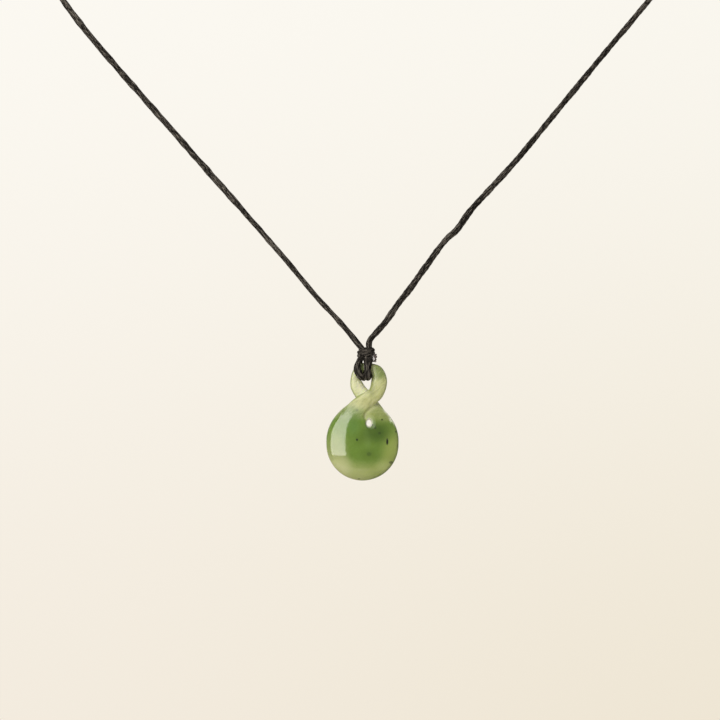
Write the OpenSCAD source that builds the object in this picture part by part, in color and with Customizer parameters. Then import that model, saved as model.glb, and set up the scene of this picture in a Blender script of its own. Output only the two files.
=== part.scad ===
// Greenstone twist pendant on a waxed cord. Millimetres, +Z up, the front of the pendant faces -Y.
// The origin is the middle of the closure at the nape of the neck, where the necklace hangs.

/* [Stone] */
// Height of the carved stone along its own axis, from the top of the ring to the foot of the drop
stone_height = 29.3; // [28.5:0.1:31]
// Half the thickness of the drop at its middle
drop_half_thick = 2.7; // [2:0.1:3.2]
// Lean of the stone's own axis to the right, as it hangs
stone_lean = 5.5; // [0:0.5:6]

/* [Cord] */
// Diameter of the waxed cord
cord_d = 1.4; // [1:0.1:1.6]
// Thickness of the cord where it runs through the eye of the stone
loop_thick = 1.3; // [1:0.1:1.4]
// Width of the left eye loop, which is pressed a little narrower in the eye
left_loop_w = 1.1; // [0.9:0.05:1.2]
// Width of the right eye loop, where the cord is pressed flat
right_loop_w = 1.6; // [1.2:0.1:1.7]

/* [Closure] */
// Length of the plain barrel at the nape
barrel_length = 12; // [10:0.5:16]
// Diameter of the barrel
barrel_d = 4; // [3.4:0.2:6]

/* [Hidden] */

stone_green = [0.42, 0.55, 0.26];
cord_black = [0.13, 0.12, 0.11];
barrel_black = [0.10, 0.10, 0.10];

// The middle of the ring's top bar: the stone swings about the X axis through this point
swing_point = [2.5, -124, -132];

// The stone in its own frame: X across, Y back, Z up, with the middle of the top bar as the origin
drop_centre = [0, 0, -19.1];
drop_radius = 8.9;
strand_sides = 20;
strand_steps = 5;
strand_squareness = 0.95;

// Rows of a strand. Columns: across, back, up, half width, half thickness
// The front strand is the top bar, the right side of the ring, the crossing and the left of the drop
FRONT_STRAND = [
    [-0.6,  0.0,   0.0, 1.20, 1.25],
    [-0.2,  0.0,   0.0, 1.20, 1.25],
    [ 0.4,  0.0,   0.0, 1.20, 1.25],
    [ 1.9, -0.1,  -0.8, 1.50, 1.30],
    [ 2.5, -0.3,  -3.1, 1.80, 1.40],
    [ 2.0, -0.8,  -6.0, 1.75, 1.40],
    [ 0.3, -1.1,  -7.7, 1.90, 1.45],
    [-1.3, -1.1,  -9.0, 2.10, 1.50],
    [-2.7, -0.8, -10.9, 2.70, 1.70],
    [-3.7, -0.4, -12.9, 3.50, 1.90],
    [-4.2, -0.1, -15.4, 4.40, 1.80],
    [-3.9,  0.0, -18.3, 4.70, 1.00]
];
// The back strand is the left side of the ring, the crossing behind and the right of the drop
BACK_STRAND = [
    [-0.6,  0.0,   0.0, 1.20, 1.25],
    [-0.9,  0.0,   0.0, 1.20, 1.25],
    [-1.3,  0.0,   0.0, 1.20, 1.25],
    [-2.8,  0.1,  -0.7, 0.95, 1.25],
    [-3.6,  0.2,  -2.4, 0.75, 1.20],
    [-2.9,  0.5,  -4.3, 1.50, 1.30],
    [-1.9,  0.8,  -5.9, 1.80, 1.40],
    [-0.3,  1.1,  -7.7, 1.90, 1.45],
    [ 1.4,  1.1,  -9.5, 1.95, 1.50],
    [ 2.7,  0.8, -11.1, 2.20, 1.70],
    [ 3.6,  0.4, -13.0, 2.95, 1.90],
    [ 4.2,  0.1, -15.4, 4.20, 1.80],
    [ 3.9,  0.0, -18.3, 4.60, 1.00]
];

// The small hole that is left where the strands part below the crossing
hole_centre = [1.1, 0, -13.7];
hole_width = 1.1;
hole_height = 1.9;

// The loops round the top bar, from the swing point. Columns: across, back, up
LEFT_LOOP = [
    [-2.2, -0.8,  3.5], [-2.6, -1.6,  2.3], [-3.3, -2.4,  0.9], [-3.3, -2.7, -0.2],
    [-2.8, -2.5, -1.2], [-2.2, -1.8, -2.0], [-1.9, -0.7, -2.3], [-1.9,  0.5, -2.3],
    [-1.9,  1.6, -1.7], [-1.9,  2.2, -0.7], [-1.9,  2.2,  0.5], [-1.9,  1.6,  2.0],
    [-1.9,  0.8,  3.5]
];
RIGHT_LOOP = [
    [-0.45, -0.8,  3.5], [-0.45, -1.6,  2.0], [-0.45, -2.2,  0.5], [-0.45, -2.2, -0.7],
    [-0.45, -1.6, -1.7], [-0.45, -0.6, -2.3], [-0.45,  0.6, -2.3], [-0.45,  1.6, -1.7],
    [-0.45,  2.2, -0.7], [-0.45,  2.2,  0.5], [-0.45,  1.6,  2.0], [-0.45,  0.8,  3.5]
];

// The turns of the binding, from the swing point, and their outer sizes
upper_turn_place = [-1.0, 0, 4.0];
upper_turn_size = [4.5, 3.8, 2.0];
lower_turn_place = [0.0, 0, 2.7];
lower_turn_size = [3.6, 3.6, 1.7];
lower_turn_roll = 8;
end_radius = 0.5;
CUT_ENDS = [[1.5, -1.1, 3.0], [1.2, -1.5, 2.3]];

// The neck cord's route, from the binding to the closure
LEFT_ROUTE = [
    [  1.0, -124.0, -127.8], [ -2.5, -123.0, -123.5], [ -5.5, -120.0, -120.0],
    [-11.5, -114.5, -113.5], [-18.5, -108.5, -105.0], [-32.0,  -97.5,  -89.5],
    [-50.5,  -83.0,  -68.5], [-70.0,  -67.0,  -46.0], [-77.5,  -60.5,  -36.0],
    [-81.5,  -54.5,  -29.5], [-82.5,  -46.5,  -24.0], [-80.5,  -37.5,  -19.5],
    [-75.0,  -28.5,  -15.0], [-66.5,  -20.0,  -11.0], [-55.5,  -12.5,   -7.5],
    [-43.5,   -7.0,   -4.5], [-31.0,   -3.0,   -2.0], [-20.0,   -0.5,   -0.5],
    [-13.0,    0.0,    0.0], [ -9.5,    0.0,    0.0], [ -6.0,    0.0,    0.0]
];
RIGHT_ROUTE = [
    [  2.4, -124.0, -127.8], [  2.5, -123.5, -125.0], [  6.0, -120.5, -121.0],
    [  9.5, -116.5, -116.0], [ 13.0, -113.0, -111.5], [ 21.0, -105.5, -100.5],
    [ 24.5, -103.0,  -97.0], [ 29.0,  -99.0,  -91.0], [ 39.5,  -90.5,  -79.5],
    [ 51.5,  -81.0,  -65.0], [ 63.0,  -70.5,  -51.0], [ 75.5,  -60.5,  -36.0],
    [ 80.0,  -54.5,  -29.5], [ 81.5,  -46.5,  -24.0], [ 80.0,  -37.5,  -19.5],
    [ 75.0,  -28.5,  -15.0], [ 66.5,  -20.0,  -11.0], [ 55.5,  -12.5,   -7.5],
    [ 43.5,   -7.0,   -4.5], [ 31.0,   -3.0,   -2.0], [ 20.0,   -0.5,   -0.5],
    [ 13.0,    0.0,    0.0], [  9.5,    0.0,    0.0], [  6.0,    0.0,    0.0]
];
cord_sides = 8;
loop_sides = 12;

function unit(v) = v / norm(v);

// A point of the smooth curve through all rows, a share t of the way from row i to the next
function between(rows, i, t) =
    let (a = rows[max(i - 1, 0)], b = rows[i], c = rows[i + 1],
         d = rows[min(i + 2, len(rows) - 1)])
    (2 * b + (c - a) * t + (2 * a - 5 * b + 4 * c - d) * t * t
        + (3 * b - a - 3 * c + d) * t * t * t) / 2;

// The rows with steps points from each row to the next
function smoothed(rows, steps) = [
    for (i = [0 : len(rows) - 2]) for (k = [0 : steps - 1]) between(rows, i, k / steps),
    rows[len(rows) - 1]
];

function place(row) = [row[0], row[1], row[2]];

function direction(line, i) =
    unit(line[min(i + 1, len(line) - 1)] - line[max(i - 1, 0)]);

// A cosine or sine that is drawn out towards the corners of a rounded oblong
function drawn(x, power) = sign(x) * pow(abs(x), power);

// The corners of one section: a rounded oblong across the line, with its thickness towards deep
function section(centre, along, deep, half_w, half_t, sides, power) =
    let (wide = unit(cross(along, deep)), thick = cross(wide, along))
    [for (k = [0 : sides - 1]) let (angle = 360 * k / sides)
        centre + wide * half_w * drawn(cos(angle), power)
            + thick * half_t * drawn(sin(angle), power)];

// The faces of a tube with closed ends
function tube_faces(rings, sides) = [
    [for (k = [sides - 1 : -1 : 0]) k],
    for (i = [0 : rings - 2]) for (k = [0 : sides - 1]) for (half = [0, 1])
        let (next = (k + 1) % sides, low = i * sides, high = low + sides)
        half == 0 ? [low + k, high + next, high + k] : [low + k, low + next, high + next],
    [for (k = [0 : sides - 1]) (rings - 1) * sides + k]
];

// A tube along rows whose last two columns are its half width and half thickness
module swept(rows, deep, sides, power = 1) {
    line = [for (row = rows) place(row)];
    corners = [
        for (i = [0 : len(rows) - 1])
            each section(line[i], direction(line, i), deep, rows[i][3], rows[i][4], sides, power)
    ];
    polyhedron(corners, tube_faces(len(rows), sides), convexity = 6);
}

// Gives every point of a line the same half width and half thickness
function with_size(points, half_w, half_t) = [for (p = points) concat(p, [half_w, half_t])];

// One carved strand of the stone
module strand(rows) {
    swept(smoothed(rows, strand_steps), [0, 1, 0], strand_sides, strand_squareness);
}

// The round drop, thickest in the middle and rounded at its edge
module drop() {
    edge_steps = 14;
    profile = [
        for (k = [0 : edge_steps])
            let (angle = -90 + 180 * k / edge_steps)
            [k % edge_steps == 0 ? 0 : drop_radius * drawn(cos(angle), 0.9),
             drop_half_thick * sin(angle)]
    ];
    translate(drop_centre) rotate([90, 0, 0]) rotate_extrude($fn = 56) polygon(profile);
}

// The tear-shaped hole below the crossing
module small_hole() {
    translate(hole_centre) rotate([90, 0, 0])
        linear_extrude(3 * drop_half_thick, center = true)
            resize([hole_width, hole_height]) circle(d = 1, $fn = 16);
}

// The stone in its own frame, at the height that it is given
module carved_stone() {
    resize([0, 0, stone_height], auto = true)
        difference() {
            union() {
                strand(FRONT_STRAND);
                strand(BACK_STRAND);
                drop();
            }
            small_hole();
        }
}

module greenstone_twist() {
    color(stone_green)
        translate(swing_point) rotate([0, stone_lean, 0]) carved_stone();
}

// A loop of cord that holds the top bar
module eye_loop(route, width) {
    color(cord_black) translate(swing_point)
        swept(with_size(smoothed(route, 3), loop_thick / 2, width / 2), [1, 0, 0], loop_sides);
}

module eye_loop_left() {
    eye_loop(LEFT_LOOP, left_loop_w);
}

module eye_loop_right() {
    eye_loop(RIGHT_LOOP, right_loop_w);
}

// A wound turn of cord, pressed flat between the strands that it binds
module wound_turn(size) {
    resize(size)
        rotate_extrude($fn = 32) {
            translate([0, -1]) square([3, 2]);
            translate([3, 0]) circle(r = 1, $fn = 20);
        }
}

module binding_knot() {
    color(cord_black) translate(swing_point) {
        translate(upper_turn_place) wound_turn(upper_turn_size);
        translate(lower_turn_place) rotate([0, lower_turn_roll, 0]) wound_turn(lower_turn_size);
        for (p = CUT_ENDS) translate(p) sphere(r = end_radius, $fn = 16);
    }
}

// One half of the necklace's cord
module neck_cord(route) {
    color(cord_black)
        swept(with_size(smoothed(route, 2), cord_d / 2, cord_d / 2), [0, -1, 1], cord_sides);
}

module neck_cord_left() {
    neck_cord(LEFT_ROUTE);
}

module neck_cord_right() {
    neck_cord(RIGHT_ROUTE);
}

// The closure: a plain barrel with rounded ends, whose flat middles take the cord's ends
module nape_barrel() {
    end_round = barrel_d / 4;
    end_r = barrel_d / 2 - end_round;
    color(barrel_black) rotate([0, 90, 0]) rotate_extrude() {
        translate([0, -barrel_length / 2]) square([end_r, barrel_length]);
        translate([0, end_round - barrel_length / 2])
            square([barrel_d / 2, barrel_length - 2 * end_round]);
        for (side = [-1, 1])
            translate([end_r, side * (barrel_length / 2 - end_round)]) circle(r = end_round);
    }
}

greenstone_twist();
eye_loop_left();
eye_loop_right();
binding_knot();
neck_cord_left();
neck_cord_right();
nape_barrel();
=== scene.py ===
"""The looks of a greenstone twist pendant on a waxed cord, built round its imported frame."""

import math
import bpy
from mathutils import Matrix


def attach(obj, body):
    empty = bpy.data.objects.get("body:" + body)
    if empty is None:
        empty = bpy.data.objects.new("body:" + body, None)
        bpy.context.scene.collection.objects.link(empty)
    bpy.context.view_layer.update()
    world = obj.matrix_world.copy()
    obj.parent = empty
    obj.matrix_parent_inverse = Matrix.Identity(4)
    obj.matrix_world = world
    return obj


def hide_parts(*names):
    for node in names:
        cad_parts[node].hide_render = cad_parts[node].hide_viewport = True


bl_info = {
    "name": "Greenstone Twist Pendant",
    "version": (1, 0, 0),
    "blender": (4, 5, 0),
    "location": "View3D > Sidebar > Pendant",
    "description": "Carved greenstone, braided cord, binding and a quiet studio for them",
    "category": "Add Mesh",
}

import bmesh
import bpy
import numpy as np
from bpy.props import FloatProperty, FloatVectorProperty, IntProperty, PointerProperty
from mathutils import Matrix, Vector

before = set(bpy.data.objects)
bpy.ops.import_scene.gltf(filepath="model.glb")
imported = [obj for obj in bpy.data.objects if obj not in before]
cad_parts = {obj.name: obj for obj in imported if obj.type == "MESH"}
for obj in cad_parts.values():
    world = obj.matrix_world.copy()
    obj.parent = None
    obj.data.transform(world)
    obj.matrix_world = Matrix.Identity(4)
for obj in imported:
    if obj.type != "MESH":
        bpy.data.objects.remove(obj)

MM = 0.001

# The middle of the ring's top bar, about which the stone swings
SWING = np.array([0.0025, -0.124, -0.132])

# Where the camera and the middle of the view are, how far the backdrop is, half the view's width
# there, and the height of the floor
VIEW_HEIGHT = -0.130
BACKDROP_AWAY = 0.45
BACKDROP_HALF_VIEW = 0.1245
FLOOR_HEIGHT = -0.36

# The step along a cord between its rings of corners, and the corners in a ring: on the long
# cords, on the loops, on the binding and on the cut ends
CORD_STEP, CORD_SIDES = 0.00027, 22
LOOP_STEP, LOOP_SIDES = 0.00018, 24
BINDING_STEP, BINDING_SIDES = 0.00018, 22
END_STEP, END_SIDES = 0.00008, 16

# Seeds of what is uneven in the binding's turns, its core and the cut ends
BINDING_SEED, CORE_SEED, END_SEED = 50, 60, 70

# How far a cord's middle wanders from its route, and the length of one bend of that
CORD_WANDER, WANDER_LENGTH = 0.00005, 0.0026

# The cord's routes from the binding to the closure, as in the part's source. The way round the
# nape is the same on both sides.
NAPE_ROUTE = (
    (0.0750, -0.0285, -0.0150),
    (0.0665, -0.0200, -0.0110),
    (0.0555, -0.0125, -0.0075),
    (0.0435, -0.0070, -0.0045),
    (0.0310, -0.0030, -0.0020),
    (0.0200, -0.0005, -0.0005),
    (0.0130, 0.0000, 0.0000),
    (0.0095, 0.0000, 0.0000),
    (0.0060, 0.0000, 0.0000),
)
LEFT_ROUTE = (
    (0.0010, -0.1240, -0.1278),
    (-0.0025, -0.1230, -0.1235),
    (-0.0055, -0.1200, -0.1200),
    (-0.0115, -0.1145, -0.1135),
    (-0.0185, -0.1085, -0.1050),
    (-0.0320, -0.0975, -0.0895),
    (-0.0505, -0.0830, -0.0685),
    (-0.0700, -0.0670, -0.0460),
    (-0.0775, -0.0605, -0.0360),
    (-0.0815, -0.0545, -0.0295),
    (-0.0825, -0.0465, -0.0240),
    (-0.0805, -0.0375, -0.0195),
    *((-x, y, z) for x, y, z in NAPE_ROUTE),
)
RIGHT_ROUTE = (
    (0.0024, -0.1240, -0.1278),
    (0.0025, -0.1235, -0.1250),
    (0.0060, -0.1205, -0.1210),
    (0.0095, -0.1165, -0.1160),
    (0.0130, -0.1130, -0.1115),
    (0.0210, -0.1055, -0.1005),
    (0.0245, -0.1030, -0.0970),
    (0.0290, -0.0990, -0.0910),
    (0.0395, -0.0905, -0.0795),
    (0.0515, -0.0810, -0.0650),
    (0.0630, -0.0705, -0.0510),
    (0.0755, -0.0605, -0.0360),
    (0.0800, -0.0545, -0.0295),
    (0.0815, -0.0465, -0.0240),
    (0.0800, -0.0375, -0.0195),
    *NAPE_ROUTE,
)

# The loops through the stone's eye, in millimetres from the swing point, with their half width
# across and half thickness
LEFT_LOOP = (
    (-1.9, -0.8, 3.6, 0.60, 0.60),
    (-2.4, -1.6, 2.5, 0.58, 0.58),
    (-2.9, -2.2, 1.5, 0.58, 0.58),
    (-3.20, -2.5, 0.5, 0.76, 0.60),
    (-3.20, -2.65, -0.5, 0.90, 0.60),
    (-2.75, -2.70, -1.45, 0.90, 0.60),
    (-2.20, -2.40, -2.15, 0.84, 0.58),
    (-1.70, -1.5, -2.55, 0.66, 0.56),
    (-1.55, -0.4, -2.68, 0.52, 0.55),
    (-1.58, 0.7, -2.40, 0.52, 0.54),
    (-1.80, 1.7, -1.7, 0.54, 0.56),
    (-2.2, 2.2, -0.6, 0.56, 0.58),
    (-2.4, 2.2, 0.6, 0.58, 0.60),
    (-2.3, 1.6, 2.0, 0.58, 0.60),
    (-2.0, 0.8, 3.5, 0.60, 0.60),
)
RIGHT_LOOP = (
    (-0.25, -0.8, 3.5, 0.80, 0.62),
    (-0.40, -1.6, 2.2, 0.95, 0.62),
    (-0.52, -2.15, 0.9, 0.90, 0.62),
    (-0.66, -2.35, -0.4, 0.84, 0.62),
    (-0.60, -2.35, -1.3, 0.92, 0.60),
    (-0.56, -2.02, -2.1, 0.94, 0.58),
    (-0.56, -1.3, -2.5, 0.80, 0.56),
    (-0.46, 0.0, -2.58, 0.60, 0.57),
    (-0.46, 1.2, -2.1, 0.60, 0.56),
    (-0.48, 2.05, -1.2, 0.68, 0.60),
    (-0.50, 2.25, 0.0, 0.76, 0.62),
    (-0.50, 1.7, 1.8, 0.74, 0.62),
    (-0.45, 0.8, 3.5, 0.72, 0.62),
)

# The turns of the binding, in millimetres from the swing point: the middle (across, back, up),
# half width, half depth, rise of a turn, start and number of turns, lean to the right in
# degrees, half thickness
BINDING_TURNS = (
    ((-1.0, 0.0, 3.78), 1.62, 1.30, 0.74, 0.6, 2.3, -6, 0.62),
    ((-0.75, 0.0, 2.85), 1.26, 1.22, 0.60, 2.0, 1.8, 15, 0.56),
    ((-0.95, 0.0, 3.45), 1.60, 1.45, 0.25, 0.0, 1.1, 30, 0.46),
)

# The middle of the cords inside the binding, in millimetres from the swing point
BINDING_CORE = ((-1.0, 0, 4.5), (-1.0, 0, 4.0), (-0.9, 0, 3.3), (-0.6, 0, 2.7), (-0.5, 0, 2.5))

# The cut ends that stand out of the binding: base, tip and half thickness at the base
CUT_ENDS = (
    ((0.2, -0.9, 2.95), (1.78, -1.50, 2.80), 0.66),
    ((0.2, -0.9, 2.25), (1.66, -1.55, 2.05), 0.58),
    ((0.9, -1.0, 3.10), (1.75, -1.20, 3.45), 0.26),
    ((0.9, -1.2, 1.90), (1.60, -1.55, 1.56), 0.32),
)

# How the stone leans where it hangs
STONE_LEAN = math.radians(5.5)
LEAN, RISE = math.cos(STONE_LEAN), math.sin(STONE_LEAN)

# The stone's two strands in its own frame, in millimetres: across, back, up, half width, half
# thickness, how square the section is, from 1 for an oval down to 0.5, and the share of a
# chamfer along the eye
FRONT_STRAND = (
    (-0.7, 0.0, 0.0, 1.20, 1.25, 0.95, 0.0),
    (-0.2, 0.0, 0.0, 1.20, 1.25, 0.95, 0.0),
    (0.4, 0.0, 0.0, 1.22, 1.25, 0.92, 0.2),
    (1.9, -0.1, -0.8, 1.60, 1.30, 0.80, 0.8),
    (2.6, -0.3, -3.1, 2.00, 1.38, 0.62, 1.0),
    (2.1, -0.8, -6.0, 1.92, 1.40, 0.56, 0.6),
    (0.4, -1.1, -7.7, 1.92, 1.42, 0.54, 0.1),
    (-1.3, -1.1, -9.0, 2.00, 1.48, 0.56, 0.0),
    (-2.7, -0.9, -10.8, 2.25, 1.60, 0.62, 0.0),
    (-3.5, -0.5, -12.9, 2.60, 1.65, 0.75, 0.0),
    (-3.6, 0.0, -15.2, 2.60, 1.40, 0.90, 0.0),
    (-3.4, 0.2, -17.2, 2.20, 1.00, 0.95, 0.0),
)
BACK_STRAND = (
    (-0.2, 0.0, 0.0, 1.18, 1.22, 0.95, 0.0),
    (-0.9, 0.0, 0.0, 1.20, 1.25, 0.95, 0.0),
    (-1.3, 0.0, 0.0, 1.22, 1.25, 0.92, 0.0),
    (-2.9, 0.1, -0.7, 1.00, 1.25, 0.85, 0.0),
    (-3.6, 0.2, -2.4, 0.92, 1.20, 0.80, 0.0),
    (-3.02, 0.5, -4.3, 1.58, 1.30, 0.66, 0.0),
    (-2.02, 0.8, -5.9, 1.75, 1.40, 0.60, 0.0),
    (-0.3, 1.1, -7.7, 1.95, 1.45, 0.58, 0.0),
    (1.4, 1.1, -9.5, 1.92, 1.50, 0.58, 0.0),
    (2.6, 0.9, -11.1, 2.15, 1.62, 0.64, 0.0),
    (3.3, 0.5, -13.0, 2.50, 1.65, 0.76, 0.0),
    (3.5, 0.0, -15.2, 2.60, 1.40, 0.90, 0.0),
    (3.3, -0.2, -17.2, 2.20, 1.00, 0.95, 0.0),
)

# The drop in the same frame: its middle, its radius at the foot, what the shoulders and the neck
# add to that, and the half thickness of the solid that the faces are carved from
DROP_CENTRE = (-0.04, 0.0, -19.2)
DROP_RADIUS = 9.1
DROP_SHOULDER = 1.65
DROP_NECK = 1.6
DROP_HALF_THICK = 2.72

# The drop's carved faces: how far in from the rim they are at full height at the shoulders, their
# height, what the foot adds, the height of the blunt rim at the shoulders, and the undercut's depth
FACE_RUN_IN = 4.6
FACE_HEIGHT = 2.5
FACE_FOOT = 0.22
BLUNT_RIM = 1.15
UNDERCUT = 0.36

# The small hole: its middle, half width and half height at mid depth, and half the cutter's length
HOLE_CENTRE = (1.05, 0.0, -13.7)
HOLE_HALF_WIDE = 0.62
HOLE_HALF_TALL = 0.88
HOLE_HALF_DEEP = 3.6

# The least weight at which a corner takes part in rubbing smooth
LEAST_WEIGHT = 0.02

# The edge of the front band, from the crossing round the small hole: across and up
BAND_EDGE = (
    (3.3, -7.3),
    (2.55, -8.3),
    (1.5, -9.15),
    (0.5, -10.25),
    (-0.2, -11.2),
    (-0.4, -12.2),
    (0.0, -13.1),
    (0.45, -13.9),
    (0.9, -14.8),
)

# Clouds in the stone, and two pale patches of painted light, in millimetres from the swing point:
# across, up, half width, half height, softness, strength, and the colour from 0 to 255
CLOUDS = (
    (-8.7, -20.6, 2.6, 4.2, 0.7, 0.70, (156, 168, 106)),
    (-8.0, -24.6, 2.6, 2.2, 0.6, 0.85, (192, 199, 146)),
    (6.9, -20.6, 1.4, 2.6, 0.6, 0.70, (196, 208, 138)),
    (4.4, -24.8, 2.4, 1.6, 0.7, 0.60, (188, 200, 132)),
    (-3.4, -11.3, 2.4, 1.4, 0.7, 0.70, (112, 142, 66)),
    (-0.6, -17.2, 0.9, 2.6, 0.8, 0.35, (140, 170, 92)),
    (-4.2, -14.2, 1.5, 2.4, 0.8, 0.40, (98, 144, 76)),
    # Painted light: a pale patch that lifts the loop's shade on the rear strand
    (-1.9, -4.6, 1.3, 1.8, 0.6, 0.90, (238, 238, 212)),
    (-6.4, -11.0, 2.6, 2.2, 0.8, 0.85, (106, 134, 62)),
    (6.8, -20.2, 3.0, 4.2, 0.8, 0.85, (160, 178, 92)),
    (1.6, -16.1, 3.0, 2.4, 0.7, 0.85, (68, 98, 22)),
    (-2.4, -17.6, 1.6, 1.4, 0.8, 0.45, (86, 114, 36)),
    (-0.2, -21.6, 2.0, 1.5, 0.8, 0.50, (90, 118, 36)),
    (2.6, -11.4, 3.4, 1.9, 0.7, 0.80, (146, 161, 90)),
    (0.4, -4.6, 0.9, 2.4, 0.7, 0.70, (146, 152, 96)),
    (2.4, -0.9, 1.9, 1.9, 0.5, 0.85, (116, 136, 66)),
    # Painted light: a pale stripe on the right arm's inner bevel, which lifts the loop's shade and
    # lightens the facet
    (0.95, -1.3, 0.45, 2.2, 0.6, 0.60, (202, 214, 160)),
    (-1.7, 0.2, 1.0, 1.5, 0.4, 0.75, (106, 132, 52)),
)

# Dark flecks in the stone, in millimetres from the swing point: across, up, half width, half
# height, strength
FLECKS = (
    (4.30, -18.40, 0.26, 0.80, 1.00),
    (-3.25, -17.90, 0.26, 0.28, 0.85),
    (3.00, -12.90, 0.24, 0.22, 0.80),
    (1.80, -9.15, 0.18, 0.14, 0.50),
    (6.50, -15.90, 0.18, 0.28, 0.80),
    (5.25, -23.60, 0.50, 0.36, 0.60),
    (-0.25, -21.50, 0.60, 0.50, 0.30),
    (2.40, -16.25, 0.36, 0.30, 0.40),
    (1.30, -14.90, 0.26, 0.30, 0.50),
    (0.66, -14.20, 0.15, 0.20, 0.90),
    (-3.25, -10.50, 0.35, 0.30, 0.30),
    (-2.75, -27.70, 0.35, 0.14, 0.60),
    (6.90, -19.40, 0.12, 0.50, 0.45),
)


def length_property(name, description, default, low, high, digits=4):
    """A length in metres that the user may change"""
    return FloatProperty(
        name=name,
        description=description,
        default=default,
        min=low,
        max=high,
        precision=digits,
        subtype="DISTANCE",
        unit="LENGTH",
    )


def glow_property(name, description, default, high):
    """A brightness that the user may change"""
    return FloatProperty(
        name=name, description=description, default=default, min=0.0, max=high, subtype="FACTOR"
    )


def colour_property(name, description, default):
    """A linear colour that the user may change"""
    return FloatVectorProperty(
        name=name, description=description, default=default, min=0.0, max=1.0, subtype="COLOR"
    )


class PendantCord(bpy.types.PropertyGroup):
    diameter: length_property(
        "Cord diameter", "Thickness of the waxed cord over its plies", 0.0014, 0.001, 0.002
    )
    plies: IntProperty(
        name="Plies each way",
        description="Plies of the braid that run round the cord each way",
        default=4,
        min=2,
        max=6,
        subtype="UNSIGNED",
    )
    lay_length: length_property(
        "Lay length", "Length along the cord in which a ply goes round once", 0.0075, 0.004, 0.02
    )
    ply_relief: length_property(
        "Ply relief", "How far the plies stand out of the cord", 0.00011, 0.0, 0.0002, 5
    )
    # The gap colour is partly painted shade between the plies, the top colour partly wax rubbed
    # paler
    dark: colour_property("Cord black", "Colour between the plies", (0.0022, 0.0019, 0.0017))
    worn: colour_property(
        "Waxed brown-black",
        "Colour on top of the plies, where the wax is rubbed",
        (0.0150, 0.0132, 0.0120),
    )


class PendantStone(bpy.types.PropertyGroup):
    grain: length_property(
        "Surface step", "Size of the faces of the polished surface", 0.00014, 0.0001, 0.0004, 5
    )
    olive: colour_property(
        "Pale olive",
        "Colour of the ring and of the band that crosses in front",
        (0.62, 0.64, 0.33),
    )
    pale: colour_property(
        "Thin edge",
        "Colour of the ring where the light comes through it on the left",
        (0.76, 0.78, 0.54),
    )
    green: colour_property("Deep green", "Colour of the middle of the drop", (0.128, 0.232, 0.022))
    foot: colour_property(
        "Foot", "Colour of the pale crescent at the foot of the drop", (0.40, 0.46, 0.17)
    )


class PendantStage(bpy.types.PropertyGroup):
    camera_away: length_property(
        "Camera distance", "Distance from the camera to the stone", 1.5, 0.5, 4.0
    )
    lens: FloatProperty(
        name="Lens",
        description="Focal length of the camera in millimetres",
        default=300.0,
        min=50.0,
        max=400.0,
        unit="CAMERA",
    )
    softbox_glow: glow_property(
        "Softbox glow", "Brightness of the tall softbox on the left", 5.2, 20.0
    )
    key_glow: glow_property("Key glow", "Brightness of the soft key light", 8.0, 20.0)
    air_glow: glow_property("Room glow", "Brightness of the pale room round the pendant", 0.42, 2.0)


class Number:
    """A number in a node tree. An operator on it adds a Math node."""

    def __init__(self, nodes, socket):
        self.nodes = nodes
        self.socket = socket

    def worked(self, kind, *terms):
        return self.nodes.number("ShaderNodeMath", {"operation": kind}, dict(enumerate(terms)))

    def __add__(self, other):
        return self.worked("ADD", self, other)

    def __radd__(self, other):
        return self.worked("ADD", other, self)

    def __sub__(self, other):
        return self.worked("SUBTRACT", self, other)

    def __rsub__(self, other):
        return self.worked("SUBTRACT", other, self)

    def __mul__(self, other):
        return self.worked("MULTIPLY", self, other)

    def __rmul__(self, other):
        return self.worked("MULTIPLY", other, self)

    def __truediv__(self, other):
        return self.worked("DIVIDE", self, other)

    def __pow__(self, other):
        return self.worked("POWER", self, other)

    def wave(self):
        return self.worked("SINE", self)


class Nodes:
    """A node tree, whose nodes are added one call at a time."""

    def __init__(self, tree):
        self.tree = tree

    def node(self, kind, settings, sockets):
        """A node whose settings are set before the values or links of its sockets"""
        made = self.tree.nodes.new(kind)
        for key, value in settings.items():
            setattr(made, key, value)
        for key, value in sockets.items():
            self.join(made.inputs[key], value)
        return made

    def join(self, socket, value):
        """Links a value to a socket, or sets it there if it is a constant"""
        if isinstance(value, Number):
            value = value.socket
        if isinstance(value, bpy.types.NodeSocket):
            self.tree.links.new(value, socket)
        elif socket.type == "RGBA" and len(value) == 3:
            socket.default_value = (*value, 1.0)
        else:
            socket.default_value = value

    def number(self, kind, settings, sockets):
        """A node's first output, as a number"""
        return Number(self, self.node(kind, settings, sockets).outputs[0])


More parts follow.
